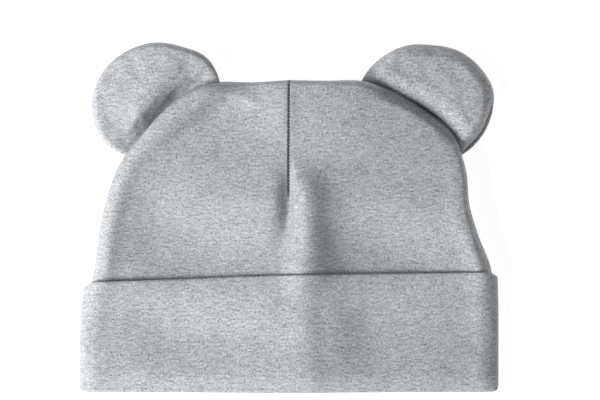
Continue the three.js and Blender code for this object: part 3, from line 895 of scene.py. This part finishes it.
jersey = {
    "paintedShade": (0.03, 0.03, 0.033),  # painted shade, in the dart's fold and between the ear's layers
    "paintedShadeMost": 0.8,  # how much of that painted shade shows at most
    "light": (0.634, 0.663, 0.688),
    "dark": (0.158, 0.167, 0.180),
    "fleck": (0.10, 0.105, 0.115),
    "fleckAt": (0.40, 0.30),  # flecks show where the pattern falls from the first to the second
    "fleckMost": 0.3,
    "tinge": (1.0, 0.93, 0.9),
    "tingeAt": (0.35, 0.65),
    "tingeMost": 0.16,
    "lightness": 0.54,
    # What mottles the cloth: the width and height of its spots, its place in the noise, and how
    # much it does to the colour and to the surface.
    "streaks": {"size": (0.935 * mm, 0.85 * mm), "at": 3.0, "shows": 1.1, "stands": 0.6},
    "specks": {"size": (0.5 * mm, 0.5 * mm), "at": 7.0, "shows": 1.0, "stands": 0.8},
    "dashes": {"size": (3.4 * mm, 1.0 * mm), "at": 5.0, "shows": 0.8},
    "clouds": {"size": (9 * mm, 7 * mm), "at": 11.0, "detail": 3.0, "shows": 0.4},
    "tints": {"size": (1.6 * mm, 1.2 * mm), "at": 17.0},
    "stitch": {"shows": 0.1, "stands": 0.5},
    "wale": 0.82 * mm,  # width of a column of knit stitches
    "course": 0.62 * mm,  # height of a row
    "slant": 1.3,  # of a stitch's legs
}


def jerseyMaterial():
    material, tree = newMaterial("grey_jersey")
    uv = tree.add("ShaderNodeUVMap", {"uv_map": "flat"})

    def patternAt(width, height):
        scale = (1 / width, 1 / height, 1)
        return tree.add("ShaderNodeMapping", inputs={"Vector": uv, "Scale": scale})

    def mottle(name):
        spots = jersey[name]
        vector = tree.add("ShaderNodeVectorMath", {"operation": "ADD"},
                          {0: patternAt(*spots["size"]), 1: (0, 0, spots["at"])})
        return tree.add("ShaderNodeTexNoise", {"noise_dimensions": "3D"}, {
            "Vector": vector, "Scale": 1.0, "Detail": spots.get("detail", 1.0), "Roughness": 0.6})

    patterns = {name: mottle(name) for name in ("streaks", "specks", "dashes", "clouds")}

    # knit stitches: columns of small slanted legs
    parted = tree.add("ShaderNodeSeparateXYZ", inputs={0: patternAt(jersey["wale"], jersey["course"])})
    across = Wire(tree, parted.socket.node.outputs[0])
    down = Wire(tree, parted.socket.node.outputs[1])
    inWale = abs(across.op("FRACT") - 0.5)
    leg = ((down + inWale * jersey["slant"]) * (2 * math.pi)).op("SINE") * 0.5 + 0.5
    groove = (inWale * (2 * math.pi)).op("COSINE") * 0.5 + 0.5
    patterns["stitch"] = leg * 0.6 + groove * (1 - groove) * 1.6

    fibres = 0
    for name, pattern in patterns.items():
        fibres = (pattern - 0.5) * jersey[name]["shows"] + fibres
    blend = tree.add("ShaderNodeMath", {"operation": "ADD", "use_clamp": True},
                     {0: fibres, 1: jersey["lightness"]})
    base = tree.add("ShaderNodeMix", {"data_type": "RGBA"},
                    {0: blend, 6: (*jersey["dark"], 1), 7: (*jersey["light"], 1)}, output=2)
    fleckStart, fleckEnd = jersey["fleckAt"]
    dark = tree.add("ShaderNodeMapRange", {"interpolation_type": "SMOOTHSTEP"}, {
        0: patterns["specks"] * 0.5 + patterns["streaks"] * 0.5,
        1: fleckStart, 2: fleckEnd, 3: 0.0, 4: jersey["fleckMost"]})
    flecked = tree.add("ShaderNodeMix", {"data_type": "RGBA"},
                       {0: dark, 6: base, 7: (*jersey["fleck"], 1)}, output=2)
    tingeStart, tingeEnd = jersey["tingeAt"]
    warm = tree.add("ShaderNodeMapRange", inputs={
        0: mottle("tints"), 1: tingeStart, 2: tingeEnd, 3: 0.0, 4: jersey["tingeMost"]})
    colour = tree.add("ShaderNodeMix", {"data_type": "RGBA", "blend_type": "MULTIPLY"},
                      {0: warm, 6: flecked, 7: (*jersey["tinge"], 1)}, output=2)

    # painted shade: the colour darkens towards near black where the attribute is set, in the dart's fold
    # and between the ear's layers
    paintedShade = tree.add("ShaderNodeAttribute", {"attribute_name": "paintedShade"}, output=2)
    colour = tree.add("ShaderNodeMix", {"data_type": "RGBA"},
                      {0: paintedShade * jersey["paintedShadeMost"], 6: colour, 7: (*jersey["paintedShade"], 1)}, output=2)

    height = 0
    for name in ("stitch", "streaks", "specks"):
        height = patterns[name] * jersey[name]["stands"] + height
    bump = tree.add("ShaderNodeBump", inputs={"Strength": 0.55, "Distance": 0.16 * mm, "Height": height})
    surface = tree.add("ShaderNodeBsdfPrincipled", inputs={
        "Base Color": colour, "Roughness": 0.93, "Normal": bump,
        "Sheen Weight": 0.1, "Sheen Roughness": 0.45, "Specular IOR Level": 0.18,
    })
    tree.add("ShaderNodeOutputMaterial", inputs={"Surface": surface})
    return material


# The floor, the lights and the camera
stage = {
    "floor": (0.93, 0.93, 0.93),
    "floorReach": 4.0,
    "view": (4.74 * mm, 7.0 * mm),  # the place that the picture's middle looks at
    "viewWidth": 258.4 * mm,
    "viewHeight": 7 * mm,  # the height at which that width is measured
    "distance": 1.0,
    "keyFrom": (-0.95, -0.46, 0.82),
    "keySize": 0.6,
    "keyPower": 24.0,
    "fill": 0.26,
    "floorGlow": 0.72,
}


def makeStage():
    material, tree = newMaterial("floor_paint")
    surface = tree.add("ShaderNodeBsdfPrincipled", inputs={
        "Base Color": (*stage["floor"], 1), "Roughness": 0.9,
        "Emission Color": (1, 1, 1, 1), "Emission Strength": stage["floorGlow"],
    })
    tree.add("ShaderNodeOutputMaterial", inputs={"Surface": surface})
    mesh = bpy.data.meshes.new("floor")
    reach = stage["floorReach"]
    corners = [(-reach, -reach, 0), (reach, -reach, 0), (reach, reach, 0), (-reach, reach, 0)]
    mesh.from_pydata(corners, [], [(0, 1, 2, 3)])
    mesh.materials.append(material)
    floor = placed("floor", mesh)

    key = bpy.data.lights.new("key", "AREA")
    key.energy, key.size = stage["keyPower"], stage["keySize"]
    keyObject = placed("key", key)
    keyObject.location = stage["keyFrom"]
    keyObject.rotation_euler = (-Vector(stage["keyFrom"])).to_track_quat("-Z", "Y").to_euler()

    world = bpy.data.worlds.new("studio")
    world.use_nodes = True
    world.node_tree.nodes["Background"].inputs["Color"].default_value = (1, 1, 1, 1)
    world.node_tree.nodes["Background"].inputs["Strength"].default_value = stage["fill"]
    scene = bpy.context.scene
    scene.world = world
    scene.view_settings.view_transform = "Standard"

    camera = bpy.data.cameras.new("camera")
    away = stage["distance"] - stage["viewHeight"]
    camera.lens = camera.sensor_width * away / stage["viewWidth"]
    cameraObject = placed("camera", camera)
    cameraObject.location = (*stage["view"], stage["distance"])
    scene.camera = cameraObject


cloths = {"crown": makeCrown()}
paintDartShade(cloths["crown"])
dartStitches = makeStitches(cloths["crown"])
print("crown made")
cloths["cuff"] = makeCuff()
print("cuff made")
for name in ears:
    cloths["ear_" + name] = makeEar(name)
print("ears made")

jerseyLook = jerseyMaterial()
for node, piece in cloths.items():
    piece.data.materials.clear()
    piece.data.materials.append(jerseyLook)
    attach(piece, "root")
    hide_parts(node)
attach(dartStitches, "root")
print("looks made")
makeStage()
print("stage made")
